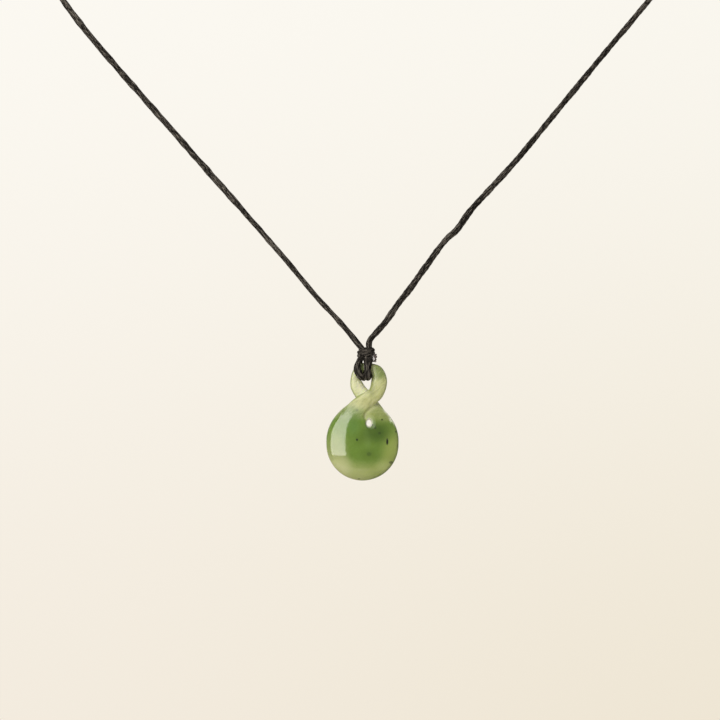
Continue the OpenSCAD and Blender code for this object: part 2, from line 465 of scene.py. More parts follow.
class Finish(Nodes):
    """A material with one Principled shader."""

    def __init__(self, name, **constants):
        self.material = bpy.data.materials.new(name)
        self.material.use_nodes = True
        super().__init__(self.material.node_tree)
        self.tree.nodes.clear()
        self.output = self.node("ShaderNodeOutputMaterial", {}, {})
        self.shader = self.node("ShaderNodeBsdfPrincipled", {}, {})
        self.join(self.output.inputs["Surface"], self.shader.outputs[0])
        self.set(**constants)

    def stored(self, name):
        """The number that each corner of the mesh stores under a name"""
        made = self.node("ShaderNodeAttribute", {"attribute_name": name}, {})
        return Number(self, made.outputs["Fac"])

    def axes(self, vector):
        """The three numbers of a vector"""
        split = self.node("ShaderNodeSeparateXYZ", {}, {0: vector})
        return [Number(self, socket) for socket in split.outputs]

    def place(self, centre, size):
        """Object coordinates from centre, in steps of size"""
        where = self.node("ShaderNodeTexCoord", {}, {}).outputs["Object"]
        settings = {"vector_type": "TEXTURE"}
        sockets = {"Vector": where, "Location": tuple(centre), "Scale": (size,) * 3}
        return self.node("ShaderNodeMapping", settings, sockets).outputs[0]

    def step(self, value, low, high):
        """0 below low and 1 above high, with a soft change between them"""
        sockets = {"Value": value, "From Min": low, "From Max": high}
        return self.number("ShaderNodeMapRange", {"interpolation_type": "SMOOTHSTEP"}, sockets)

    def noise(self, vector, scale, detail=3.0, rough=0.55, warp=0.0):
        sockets = {
            "Vector": vector,
            "Scale": scale,
            "Detail": detail,
            "Roughness": rough,
            "Distortion": warp,
        }
        return self.number("ShaderNodeTexNoise", {}, sockets)

    def mix(self, mask, low, high):
        """The low colour where the mask is 0, and the high one where it is 1"""
        sockets = {"Factor": mask, 6: low, 7: high}
        return self.node("ShaderNodeMix", {"data_type": "RGBA"}, sockets).outputs[2]

    def bump(self, height, distance, strength):
        """A normal for a height whose step from 0 to 1 is a distance in metres"""
        sockets = {"Height": height, "Distance": distance, "Strength": strength}
        return self.node("ShaderNodeBump", {}, sockets).outputs[0]

    def set(self, **sockets):
        """Links or sets the shader's own sockets"""
        for key, value in sockets.items():
            self.join(self.shader.inputs[key.replace("_", " ")], value)


def srgb(red, green, blue):
    """The linear colour of a colour given from 0 to 255"""
    return tuple(
        c / 12.92 if c <= 0.04045 else ((c + 0.055) / 1.055) ** 2.4
        for c in (red / 255, green / 255, blue / 255)
    )


def unit(rows):
    """The same directions with length 1"""
    rows = np.asarray(rows, float)
    return rows / np.maximum(np.linalg.norm(rows, axis=-1, keepdims=True), 1e-12)


def smoothed(rows, steps):
    """The smooth curve through all rows that the part's source uses"""
    rows = np.asarray(rows, float)
    padded = np.vstack([rows[:1], rows, rows[-1:]])
    made = []
    for i in range(len(rows) - 1):
        a, b, c, d = padded[i : i + 4]
        for t in np.arange(steps) / steps:
            made.append(
                (
                    2 * b
                    + (c - a) * t
                    + (2 * a - 5 * b + 4 * c - d) * t**2
                    + (3 * b - a - 3 * c + d) * t**3
                )
                / 2
            )
    return np.vstack([made, rows[-1:]])


def even_steps(rows, gap):
    """The same curve with a row every gap or so along its first three columns"""
    walked = np.r_[0, np.cumsum(np.linalg.norm(np.diff(rows[:, :3], axis=0), axis=1))]
    marks = np.linspace(0, walked[-1], max(int(round(walked[-1] / gap)), 2) + 1)
    return np.column_stack([np.interp(marks, walked, column) for column in rows.T]), marks


def carried_sides(along, first):
    """A side direction for each direction of a line, carried along without a twist"""
    sides = []
    side = np.asarray(first, float)
    for direction in along:
        side = unit(side - direction * (side @ direction))
        sides.append(side)
    return np.array(sides)


def rumple(marks, length, seed):
    """A smooth wander between about -1 and 1 along a cord"""
    picks = np.random.default_rng(seed).uniform(-1, 1, int(marks[-1] / length) + 4)
    where = marks / length
    low = where.astype(int)
    share = where - low
    share = share * share * (3 - 2 * share)
    return picks[low] * (1 - share) + picks[low + 1] * share


def braid(marks, turns, plies, lay_length):
    """How high the plies stand, from 0 to 1, for each ring and each side of a cord"""
    round_share = turns[None, :] / (2 * math.pi)
    along_share = marks[:, None] / lay_length
    first = plies * (round_share + along_share)
    second = plies * (round_share - along_share)
    one, two = np.round(first), np.round(second)
    dip = 0.45

    def crown(share):
        """The round back of a ply, across its width"""
        return np.sqrt(np.maximum(1 - (1.9 * share) ** 2, 0))

    # Plies that run one way go over those of the other way and under them in turn
    over = crown(first - one) + dip * np.cos(math.pi * (second + one))
    under = crown(second - two) - dip * np.cos(math.pi * (first + two))
    return np.clip((np.maximum(over, under) + 0.2) / 1.65, 0, 1)


def drawn(values, power):
    """A power that keeps the sign, and makes an oval squarer when it is under 1"""
    return np.sign(values) * np.abs(values) ** power


def ring_turns(sides):
    """The turn of each corner of a ring, in radians"""
    return np.arange(sides) * 2 * math.pi / sides


def side_faces(rings, sides):
    """Faces between the rings of a tube whose corners go round ring by ring"""
    grid = np.arange(rings * sides).reshape(rings, sides)
    turned = np.roll(grid, -1, axis=1)
    quads = np.stack([grid[:-1], turned[:-1], turned[1:], grid[1:]], axis=-1)
    return quads.reshape(-1, 4).tolist()


def tube_faces(rings, sides):
    """Faces of a tube that is closed with one face at each end"""
    corners = list(range(rings * sides))
    return [*side_faces(rings, sides), corners[:sides][::-1], corners[-sides:]]


def strand_mesh(rows, sides=44):
    """Corners and faces of one carved strand of the stone"""
    rows = smoothed(rows, 8)
    line = rows[:, :3]
    along = unit(np.gradient(line, axis=0))
    wide = unit(np.cross(along, (0, 1, 0)))
    thick = np.cross(wide, along)
    turns = ring_turns(sides)
    across = rows[:, 3:4] * drawn(np.cos(turns), 0.85)[None, :]
    depth = rows[:, 4:5] * np.array([drawn(np.sin(turns), power) for power in rows[:, 5]])

    # The chamfer along the eye takes off what lies below a slanting plane
    chamfer = -(0.38 * rows[:, 4:5] + (rows[:, 3:4] + across) * 0.95)
    depth += rows[:, 6:7] * np.maximum(chamfer - depth, 0)
    corners = line[:, None] + wide[:, None] * across[..., None] + thick[:, None] * depth[..., None]
    return corners.reshape(-1, 3), tube_faces(len(rows), sides)


def drop_reach(across, up):
    """How far the drop's outline lies from its middle in the direction of some points"""
    level = (up * LEAN - across * RISE) / np.maximum(np.hypot(across, up), 1e-9)
    above = np.maximum(1 - np.arccos(np.clip(level, -1, 1)) / (math.pi / 2), 0)
    return DROP_RADIUS + DROP_SHOULDER * above**1.15 + DROP_NECK * above**6


def stacked_mesh(across, depth, up, centre):
    """Corners and faces of a solid whose rings are stacked from front to back"""
    rings, sides = across.shape
    corners = np.stack([across, np.repeat(depth[:, None], sides, axis=1), up], axis=-1)
    return corners.reshape(-1, 3) + centre, tube_faces(rings, sides)


def drop_mesh(steps=34, sides=144):
    """The drop, thickest in the middle, with shoulders towards the ring"""
    level = np.linspace(-90, 90, steps + 1)[1:-1] * math.pi / 180
    turns = ring_turns(sides)
    reach = drop_reach(np.cos(turns), np.sin(turns))
    radius = drawn(np.cos(level), 0.9)
    across = np.outer(radius, reach * np.cos(turns))
    up = np.outer(radius, reach * np.sin(turns))
    return stacked_mesh(across, DROP_HALF_THICK * np.sin(level), up, DROP_CENTRE)


def hole_mesh(sides=28):
    """The cutter for the small hole, which flares towards both faces"""
    depth = np.linspace(-HOLE_HALF_DEEP, HOLE_HALF_DEEP, 19)
    turns = ring_turns(sides)
    flare = 1 + 0.08 * depth**2
    across = np.outer(HOLE_HALF_WIDE * flare, np.cos(turns))
    up = np.outer(HOLE_HALF_TALL * flare, np.sin(turns))
    return stacked_mesh(across, depth, up, HOLE_CENTRE)


def leaned(points, angle):
    """Points that lean to the right by an angle, as the pendant is seen"""
    x, y, z = np.asarray(points, float).T
    level, rise = math.cos(angle), math.sin(angle)
    return np.column_stack([x * level + z * rise, y, z * level - x * rise])


def hung(points):
    """Points of the stone's own frame, in millimetres, where the stone hangs"""
    return leaned(points, STONE_LEAN) * MM + SWING


def eased(values, low, high):
    """0 below low and 1 above high, with a soft change between them"""
    share = np.clip((np.asarray(values, float) - low) / (high - low), 0, 1)
    return share * share * (3 - 2 * share)


def between(values, start, full, fall, end):
    """1 from full to fall and 0 outside start and end, with soft changes between them"""
    return eased(values, start, full) * (1 - eased(values, fall, end))


def beyond_edge(x, z, edge):
    """How far points lie beyond an edge line on its right, and less than 0 on its left"""
    line = smoothed(edge, 6)
    nearest = np.full(len(x), 1e9)
    signed = np.zeros(len(x))
    for (ax, az), (bx, bz) in zip(line[:-1], line[1:]):
        run = np.hypot(bx - ax, bz - az)
        share = np.clip(((x - ax) * (bx - ax) + (z - az) * (bz - az)) / run**2, 0, 1)
        gap = np.hypot(x - ax - share * (bx - ax), z - az - share * (bz - az))
        side = (bx - ax) * (z - az) - (bz - az) * (x - ax)
        closer = gap < nearest
        nearest = np.where(closer, gap, nearest)
        signed = np.where(closer, np.sign(side) * gap, signed)
    return signed


def object_from(name, corners, faces):
    """A new object in the scene from its corners and faces"""
    mesh = bpy.data.meshes.new(name)
    mesh.from_pydata([tuple(corner) for corner in corners], [], [tuple(face) for face in faces])
    mesh.validate()
    made = bpy.data.objects.new(name, mesh)
    bpy.context.scene.collection.objects.link(made)
    return made


def store(made, name, values):
    """Stores a number, or three of them, at each corner"""
    values = np.asarray(values, np.float32)
    kind, key = ("FLOAT", "value") if values.ndim == 1 else ("FLOAT_VECTOR", "vector")
    made.data.attributes.new(name, kind, "POINT").data.foreach_set(key, values.ravel())


def shade(made, material):
    """Gives the object one material and smooth shading"""
    made.data.materials.clear()
    made.data.materials.append(material)
    made.data.polygons.foreach_set("use_smooth", [True] * len(made.data.polygons))
    made.data.update()


def cord_mesh(line, marks, first, wide, deep, cord, sides, seed):
    """Corners, faces, ply heights and cord places of a braided cord whose centres are line

    marks are the lengths along it, first is the side that its half width wide is measured to at
    its start, and deep is the half thickness across that.
    """
    along = unit(np.gradient(line, axis=0))
    across = carried_sides(along, first)
    thick = np.cross(along, across)
    turns = ring_turns(sides)
    height = braid(marks, turns, cord.plies, cord.lay_length)

    # Short and long changes of thickness, then the wander to the sides
    lumps = 1.04 + 0.09 * rumple(marks, 0.0021, seed) + 0.06 * rumple(marks, 0.0075, seed + 1)
    line = line + CORD_WANDER * (across * rumple(marks, WANDER_LENGTH, seed + 2)[:, None])
    line = line + CORD_WANDER * (thick * rumple(marks, WANDER_LENGTH, seed + 3)[:, None])
    least = np.maximum(np.minimum(wide, deep), 0.0004)
    share = 1 + (height - 0.6) * cord.ply_relief / least[:, None]
    reach = lumps[:, None] * share
    corners = (
        line[:, None, :]
        + across[:, None, :] * (wide[:, None] * reach * np.cos(turns))[..., None]
        + thick[:, None, :] * (deep[:, None] * reach * np.sin(turns))[..., None]
    )
    rings = len(line)
    corners = np.vstack([corners.reshape(-1, 3), line[:1], line[-1:]])
    near_tip, far_tip = rings * sides, rings * sides + 1
    far_ring = (rings - 1) * sides
    faces = side_faces(rings, sides)
    for k in range(sides):
        n = (k + 1) % sides
        faces.append((near_tip, n, k))
        faces.append((far_tip, far_ring + k, far_ring + n))
    heights = np.r_[height.ravel(), 0.5, 0.5]
    places = np.stack(
        [
            np.repeat(marks[:, None], sides, 1) / MM,
            np.tile(np.cos(turns), (rings, 1)),
            np.tile(np.sin(turns), (rings, 1)),
        ],
        axis=-1,
    ).reshape(-1, 3)
    places = np.vstack([places, [[0, 0, 0], [marks[-1] / MM, 0, 0]]])
    return corners, faces, heights, places


def merged_piece(name, parts):
    """One object from several cord meshes"""
    corners, faces, heights, places = zip(*parts)
    bases = np.cumsum([0, *map(len, corners)]).tolist()
    faces = [[i + base for i in face] for base, part in zip(bases, faces) for face in part]
    made = object_from(name, np.vstack(corners), faces)
    store(made, "ply_height", np.concatenate(heights))
    store(made, "cord_place", np.vstack(places))
    outwards(made)
    return made


def outwards(made):
    """Turns every face of a closed mesh outwards"""
    mesh = bmesh.new()
    mesh.from_mesh(made.data)
    bmesh.ops.recalc_face_normals(mesh, faces=mesh.faces)
    mesh.to_mesh(made.data)
    mesh.free()


def nothing_selected():
    """Leaves edit mode and deselects everything"""
    if bpy.context.object and bpy.context.object.mode != "OBJECT":
        bpy.ops.object.mode_set(mode="OBJECT")
    bpy.ops.object.select_all(action="DESELECT")


def only(made):
    """Makes one object the active and only selected one"""
    nothing_selected()
    made.select_set(True)
    bpy.context.view_layer.objects.active = made


def cord_finish(cord):
    """Black braided cord: dull wax on the plies, darker between them with painted shade, and pale
    streaks that are partly wax, partly painted highlight
    """
    finish = Finish("waxed cord", Specular_IOR_Level=0.04)
    laid = finish.node("ShaderNodeAttribute", {"attribute_name": "cord_place"}, {})
    place = laid.outputs["Vector"]
    height = finish.stored("ply_height")
    stretched = {"Vector": place, "Scale": (0.3, 4.0, 4.0)}
    thin = finish.node("ShaderNodeMapping", {"vector_type": "POINT"}, stretched).outputs[0]
    fibre = finish.noise(thin, 1.6, 4.0, 0.65)
    patches = finish.noise(place, 0.14, 2.0, 0.5)
    # Darker between the plies: partly painted shade in the gaps, partly wax rubbed paler on the
    # tops
    top = finish.step(height + (fibre - 0.5) * 0.9, 0.35, 0.95)
    colour = finish.mix(top, tuple(cord.dark), tuple(cord.worn))
    # Pale streaks along the fibres: partly the wax's own paler colour, partly painted highlight for
    # glints on the wax
    wax = finish.step(fibre + (patches - 0.5) * 0.2 + height * 0.08, 0.573, 0.68)
    colour = finish.mix(wax * 0.85, colour, srgb(126, 120, 113))
    normal = finish.bump(fibre, 0.00008, 0.8)
    finish.set(Base_Color=colour, Roughness=0.55 - 0.25 * wax, Normal=normal)
    return finish.material


def melted_finish():
    """Cut ends that were sealed with a flame: glassy brown-black with a painted pale glint"""
    finish = Finish("melted cord end", Coat_Roughness=0.08, Specular_IOR_Level=0.3)
    place = finish.place(SWING, MM)
    x, _, z = finish.axes(place)
    beads = finish.noise(place, 1.6, 3.0, 0.6)
    colour = finish.mix(finish.step(beads, 0.44, 0.62), srgb(16, 13, 12), srgb(92, 82, 80))
    # Painted highlight: a pale glint near the top of the cut ends
    far = ((x - 0.9) * (x - 0.9) + (z - 2.3) * (z - 2.3)) ** 0.5 + (beads - 0.5) * 1.6
    colour = finish.mix(finish.step(far, 0.15, 0.5), srgb(205, 204, 208), colour)
    normal = finish.bump(beads, 0.0002, 0.7)
    finish.set(Base_Color=colour, Roughness=0.3 - 0.15 * beads, Coat_Weight=beads, Normal=normal)
    return finish.material


def barrel_finish():
    """Satin black moulded plastic with faint turning marks"""
    finish = Finish("satin barrel", Specular_IOR_Level=0.5)
    place = finish.place((0, 0, 0), MM)
    marks = (finish.axes(place)[0] * 18.0).wave()
    grain = finish.noise(place, 2.4, 5.0, 0.6)
    colour = finish.mix(grain, srgb(26, 25, 24), srgb(46, 44, 42))
    normal = finish.bump(marks * 0.15 + grain, 0.00004, 0.6)
    finish.set(Base_Color=colour, Roughness=0.34 + 0.2 * grain, Normal=normal)
    return finish.material


def stone_finish(stone):
    """Polished nephrite: pale olive in the ring, cloudy green in the drop"""
    finish = Finish(
        "polished greenstone",
        IOR=1.61,
        Subsurface_Weight=0.6,
        Subsurface_Radius=(1.0, 1.1, 0.6),
        Subsurface_Scale=0.0007,
    )
    place = finish.place(SWING, MM)
    x, y, z = finish.axes(place)
    down = 0 - z
    rim, rear, under = finish.stored("rim"), finish.stored("rear"), finish.stored("under")
    clouds = finish.noise(place, 0.32, 3.0, 0.5, 0.6)
    wisps = finish.noise(place, 0.9, 4.0, 0.6, 1.2)
    grain = finish.noise(place, 4.5, 3.0, 0.6)
    drift = (clouds - 0.5) * 3.0 + (wisps - 0.5) * 1.2

    def patch(across, up, wide, tall, soft=0.5, shift=0.0):
        """A soft oval spot, whose edge the clouds shift"""
        far_x = (x - across) / wide
        far_z = (z - up) / tall
        far = (far_x * far_x + far_z * far_z) ** 0.5 + drift * shift
        return 1 - finish.step(far, 1 - soft, 1 + soft)

    # The ring, paler in the thin rear strand on the left with painted light that comes through it
    ring = finish.mix(clouds, srgb(184, 188, 128), tuple(stone.olive))
    thin = rear * finish.step(1.2 - x, 0.0, 2.4)
    pale = finish.mix(wisps, srgb(206, 210, 160), tuple(stone.pale))
    ring = finish.mix(thin, ring, pale)

    # The drop, green in the middle and pale in a crescent round its foot
    drop = finish.step(down + drift * 0.4 - x * 0.05, 10.8, 13.6)
    body = finish.mix(wisps, tuple(stone.green), srgb(120, 153, 62))
    away = patch(-1.5, -18.3, 6.1, 6.1, 0.32, 0.08)
    foot = (1 - away) * finish.step(down + x * 0.2 + drift * 0.5, 17.0, 22.0)
    tone = finish.mix(finish.step(x, -9.0, -3.0), srgb(192, 198, 150), tuple(stone.foot))
    tone = finish.mix(finish.step(x, -3.0, 4.0), tone, srgb(150, 166, 88))
    body = finish.mix(foot * 0.95, body, tone)
    colour = finish.mix(drop, ring, body)
    for across, up, wide, tall, soft, strength, tone in CLOUDS:
        cloud = patch(across, up, wide, tall, soft, 0.1) * strength
        colour = finish.mix(cloud, colour, srgb(*tone))
    # Painted light: paler under the band's free edge, which lifts the shade of the undercut there
    colour = finish.mix(under * (0.5 + 0.4 * wisps), colour, srgb(208, 216, 160))

    # Painted shade: a darker edge all round where the surface turns away, which fades beside the
    # eye and in the crease under the crossing, and is a paler painted reflection of the floor on
    # the foot's left
    crease = patch(0.0, -10.3, 2.3, 2.6)
    edge = finish.step(rim, 0.12, 0.7) * (0.65 + 0.35 * wisps)
    edge = edge * (1 - 0.8 * patch(0.5, -1.4, 0.8, 2.6)) * (1 - 0.9 * patch(-1.4, -4.4, 1.1, 1.7))
    edge = edge * (1 - 0.9 * crease)
    # Painted shade on the turned-away rim, darker on the right, with a painted floor reflection on
    # the foot's left
    right_rim_shade = finish.mix(finish.step(down, 21.0, 24.0), srgb(118, 142, 66), srgb(60, 92, 30))
    foot_rim_shade_and_reflection = finish.mix(finish.step(x, -5.0, 3.0), srgb(168, 176, 118), right_rim_shade)
    shoulder_rim_shade = finish.mix(finish.step(x, -6.0, 0.0), srgb(118, 142, 84), srgb(70, 100, 36))
    drop_rim_shade_and_reflection = finish.mix(finish.step(down, 17.0, 21.0), shoulder_rim_shade, foot_rim_shade_and_reflection)
    ring_rim_shade = finish.mix(finish.step(z, -3.5, -0.5), srgb(138, 154, 82), srgb(92, 106, 48))
    colour = finish.mix(edge, colour, finish.mix(drop, ring_rim_shade, drop_rim_shade_and_reflection))
    # Painted light: a paler colour on the crease's turned-away walls, which lifts the shade there
    colour = finish.mix(crease * finish.step(rim, 0.2, 0.5) * 0.6, colour, srgb(222, 228, 168))
    # Painted highlight: a pale line just inside the rim of the right shoulder
    lit_rim = finish.step(rim, 0.2, 0.36) * (1 - finish.step(rim, 0.5, 0.7))
    lit_rim = lit_rim * patch(4.8, -12.3, 2.0, 2.6, 0.35)
    colour = finish.mix(lit_rim * 0.8, colour, srgb(234, 240, 214))

    # Slanting veins, mostly in the ring, and the finest streaks
    laid = {0: place, 2: (0, math.radians(-45), 0), 3: (1.6, 0.6, 0.32)}
    along = finish.node("ShaderNodeMapping", {"vector_type": "TEXTURE"}, laid).outputs[0]
    veins = finish.noise(along, 0.9, 4.0, 0.6, 0.4)
    pale_veins = finish.step(veins, 0.5, 0.75) * (0.3 - 0.3 * drop)
    dark_veins = finish.step(0.5 - veins, 0.0, 0.2) * (0.28 - 0.2 * drop)
    colour = finish.mix(pale_veins, colour, srgb(226, 231, 184))
    colour = finish.mix(dark_veins, colour, srgb(84, 108, 40))
    streaks = ((x + z) * 9 + drift * 6).wave()
    lined = patch(3.4, -12.8, 3.4, 3.6) * 0.3 + 0.12
    fine = (grain - 0.5) * 0.5 + streaks * (wisps - 0.35) * lined
    colour = finish.mix(fine, colour, srgb(56, 78, 28))

    # Painted highlight: the pale mouth of the small hole, which stands in for light seen through it
    # and glinting on its walls; then the dark flecks of the front
    hole = patch(-0.2, -13.7, 0.80, 1.10, 0.25, 0.12)
    colour = finish.mix(hole * 0.95, colour, srgb(240, 241, 230))
    front = 1 - finish.step(y, -0.3, 0.4)
    for across, up, wide, tall, strength in FLECKS:
        mark = patch(across, up, wide, tall, 0.4, 0.03) * front * strength
        colour = finish.mix(mark, colour, srgb(10, 18, 6))

    # A high polish on the drop, and less on the ring and in the hole
    smudge = finish.noise(place, 0.5, 2.0, 0.5)
    normal = finish.bump(clouds, 0.00012, 0.15)
    satin = 1 - finish.step(down, 9.5, 13.0)
    rough = 0.05 + 0.05 * smudge + 0.4 * satin + 0.4 * patch(0.2, -13.6, 1.3, 1.7, 0.3)
    finish.set(Base_Color=colour, Roughness=rough, Normal=normal)
    return finish.material


def applied(made, kind, **settings):
    """Adds a modifier with these settings and applies it"""
    only(made)
    modifier = made.modifiers.new(kind.lower(), kind)
    for key, value in settings.items():
        setattr(modifier, key, value)
    bpy.ops.object.modifier_apply(modifier=modifier.name)


def polish(made, turns, group="", depth_only=False):
    """Rubs the surface smooth"""
    wide = not depth_only
    applied(
        made,
        "SMOOTH",
        factor=0.5,
        iterations=turns,
        vertex_group=group,
        use_x=wide,
        use_z=wide,
    )


def polish_where(made, weight, turns, depth_only=False):
    """Rubs each corner smooth as much as its weight says"""
    group = made.vertex_groups.new(name="rubbed")
    for i in np.nonzero(weight > LEAST_WEIGHT)[0]:
        group.add([int(i)], float(weight[i]), "REPLACE")
    polish(made, turns, group.name, depth_only)
    made.vertex_groups.clear()


def read_rows(values, key):
    """What a mesh holds for its corners, in rows of three"""
    rows = np.empty(len(values) * 3, np.float32)
    values.foreach_get(key, rows)
    return rows.reshape(-1, 3).astype(float)


def facing_back(made):
    """How far each corner's normal points to the back, from -1 to 1"""
    return read_rows(made.data.vertex_normals, "vector")[:, 1]


def own_rows(made):
    """The corners of the hanging stone in its own frame, in millimetres"""
    return leaned((read_rows(made.data.vertices, "co") - SWING) / MM, -STONE_LEAN)


def move_to(made, rows):
    """Moves the corners to places in the stone's own frame"""
    made.data.vertices.foreach_set("co", hung(rows).astype(np.float32).ravel())
    made.data.update()


def carve(made):
    """Blends each band into the drop, and undercuts its free edge towards the small hole

    All numbers are millimetres in the stone's own frame, or shares from 0 to 1. The front is
    carved first, then the back, where the band's edge lies further left.
    """
    for side, shift in ((1, 0.0), (-1, 2.2)):
        rows = own_rows(made)
        facing = eased(-side * facing_back(made), 0.25, 0.75)
        x, y, z = rows.T
        across, up = x - DROP_CENTRE[0], z - DROP_CENTRE[2]
        reach = drop_reach(across, up)
        share = np.hypot(across, up) / reach
        edge = np.array(BAND_EDGE)
        edge[:, 0] -= shift * (0.15 + eased(-edge[:, 1], 9.5, 13.0))
        beyond = beyond_edge(side * x, z, edge)

        # The drop's own face, which rises from its rim
        low = np.where(beyond > 0, eased(-z, 8.5, 14.0), eased(-z, 10.5, 17.5))
        deep_in = reach * (1 - share) / (FACE_RUN_IN + (reach - FACE_RUN_IN) * low)
        blunt = BLUNT_RIM * (1 - eased(-z, 9.0, 13.5))
        swell = np.sqrt(np.maximum(1 - (1 - np.clip(deep_in, 0, 1)) ** 2.22, 0))
        face = -side * (blunt + (FACE_HEIGHT + FACE_FOOT * low - blunt) * swell)

        # Where the surface is laid onto it
        on_band = 1 - eased(beyond, -0.3, 0.1)
        inside = 1 - eased(share, 0.96, 0.995)
        near_hole = eased(np.hypot(x - HOLE_CENTRE[0], (z - HOLE_CENTRE[2]) / 1.5), 1.1, 2.0)
        reach_in = np.where(beyond > 0, eased(-z, 11.0, 14.4), eased(-z, 7.8, 9.8) * on_band)
        reach_in = np.maximum(reach_in, eased(-z, 11.0, 14.4))
        flat = reach_in * inside * near_hole * facing
        rows[:, 1] += (face - y) * flat
        move_to(made, rows)

        # Rubbing: long beside the band's edge, then short over the shoulders
        run_in = between(-z, 9.4, 11.2, 14.4, 16.4)
        near_edge = 1 - (1 - eased(np.abs(beyond), 0.3, 1.2)) * run_in
        weight = between(-z, 9.4, 11.0, 14.0, 17.0) * inside
        weight *= near_edge * near_hole * facing * eased(beyond, 0.2, 1.0)
        polish_where(made, weight, 600, depth_only=True)
        weight = between(-z, 8.0, 9.4, 12.0, 15.0)
        weight *= inside * near_edge * near_hole * facing
        polish_where(made, weight, 60, depth_only=True)

        # The undercut beside the band's edge
        rows = own_rows(made)
        step = between(beyond, -0.12, 0.2, 0.6, 2.6) * run_in
        rows[:, 1] += side * UNDERCUT * step * facing
        move_to(made, rows)


def rub_rim(made):
    """Rubs the drop's turned-away rim smooth"""
    z = own_rows(made)[:, 2]
    turned = 1 - eased(np.abs(facing_back(made)), 0.5, 0.85)
    polish_where(made, turned * eased(-z, 7.0, 9.0), 40)


def give_marks(made):
    """Stores what is turned away, what is the rear strand and what lies under the band's edge"""
    store(made, "rim", 1 - np.abs(facing_back(made)))
    rows = own_rows(made)
    gaps = []
    for strand in (FRONT_STRAND, BACK_STRAND):
        line = smoothed(strand, 3)
        line = line[line[:, 2] > -11]
        away = np.linalg.norm(rows[:, None] - line[None, :, :3], axis=2)
        gaps.append((away / line[:, 3]).min(axis=1))
    x, y, z = rows.T
    rear = eased(gaps[0] - gaps[1], -0.15, 0.35) * (1 - eased(-z, 7.0, 9.0))
    store(made, "rear", rear)
    beyond = beyond_edge(x, z, BAND_EDGE)
    under = between(beyond, 0.0, 0.15, 0.45, 1.4) * (y < 0)
    store(made, "under", under * between(-z, 8.4, 9.6, 12.6, 13.4))


class PENDANT_OT_camera(bpy.types.Operator):
    """Adds the camera level with the middle of the view"""

    bl_idname = "pendant.camera"
    bl_label = "Camera"

    def execute(self, context):
        stage = context.scene.pendant_stage
        nothing_selected()
        place = (0.0, SWING[1] - stage.camera_away, VIEW_HEIGHT)
        bpy.ops.object.camera_add(location=place, rotation=(math.pi / 2, 0, 0))
        camera = context.object
        camera.name = "camera"
        camera.data.lens = stage.lens
        camera.data.sensor_width = 36.0
        camera.data.clip_start = 0.01
        camera.data.clip_end = 20.0
        context.scene.camera = camera
        return {"FINISHED"}


class PENDANT_OT_neck_cords(bpy.types.Operator):
    """Makes the two halves of the necklace's braided cord"""

    bl_idname = "pendant.neck_cords"
    bl_label = "Neck cords"

    def execute(self, context):
        cord = context.scene.pendant_cord
        material = cord_finish(cord)
        # Seed, how much thicker than usual the cord is above the binding, what it gains further
        # on, and from where to where it gains that
        halves = (
            ("left", LEFT_ROUTE, 11, -0.10, 0.20, (0.045, 0.065)),
            ("right", RIGHT_ROUTE, 37, 0.08, -0.10, (0.070, 0.090)),
        )
        for side, route, seed, thicker, gain, where in halves:
            line, marks = even_steps(smoothed(route, 12), CORD_STEP)
            swell = thicker + gain * eased(marks, *where)
            half = cord.diameter / 2 * (1 + swell * eased(marks, 0.002, 0.008))
            first = (0, -1, 0.8)
            part = cord_mesh(line, marks, first, half, half, cord, CORD_SIDES, seed)
            made = merged_piece("braided_cord_" + side, [part])
            shade(made, material)
            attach(made, "necklace")
            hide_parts("neck_cord_" + side)
            "fitting" if side == "left" else "object"
            ["nape_barrel"] if side == "left" else []
        return {"FINISHED"}


class PENDANT_OT_eye_loops(bpy.types.Operator):
    """Makes the two loops of cord that go through the stone's eye"""

    bl_idname = "pendant.eye_loops"
    bl_label = "Eye loops"

    def execute(self, context):
        cord = context.scene.pendant_cord
        material = bpy.data.materials["waxed cord"]
        for side, route, seed in (("left", LEFT_LOOP, 5), ("right", RIGHT_LOOP, 8)):
            rows = smoothed(np.array(route) * MM, 8)
            rows[:, :3] += SWING
            rows, marks = even_steps(rows, LOOP_STEP)
            wide, deep = rows[:, 3], rows[:, 4]
            line, first = rows[:, :3], (1, 0, 0)
            part = cord_mesh(line, marks, first, wide, deep, cord, LOOP_SIDES, seed)
            made = merged_piece("braided_eye_loop_" + side, [part])
            shade(made, material)
            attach(made, "necklace")
            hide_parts("eye_loop_" + side)
        return {"FINISHED"}


def wrap_path(centre, half_wide, half_deep, rise, start, turn_count, roll):
    """Centres of a turn of cord that is wound round the binding, from the swing point"""
    angle = np.linspace(start, start + 2 * math.pi * turn_count, int(60 * turn_count))
    share = np.linspace(-0.5, 0.5, len(angle))
    x = half_wide * np.cos(angle)
    y = half_deep * np.sin(angle)
    z = rise * turn_count * share
    return (leaned(np.column_stack([x, y, z]), math.radians(roll)) + centre) * MM + SWING


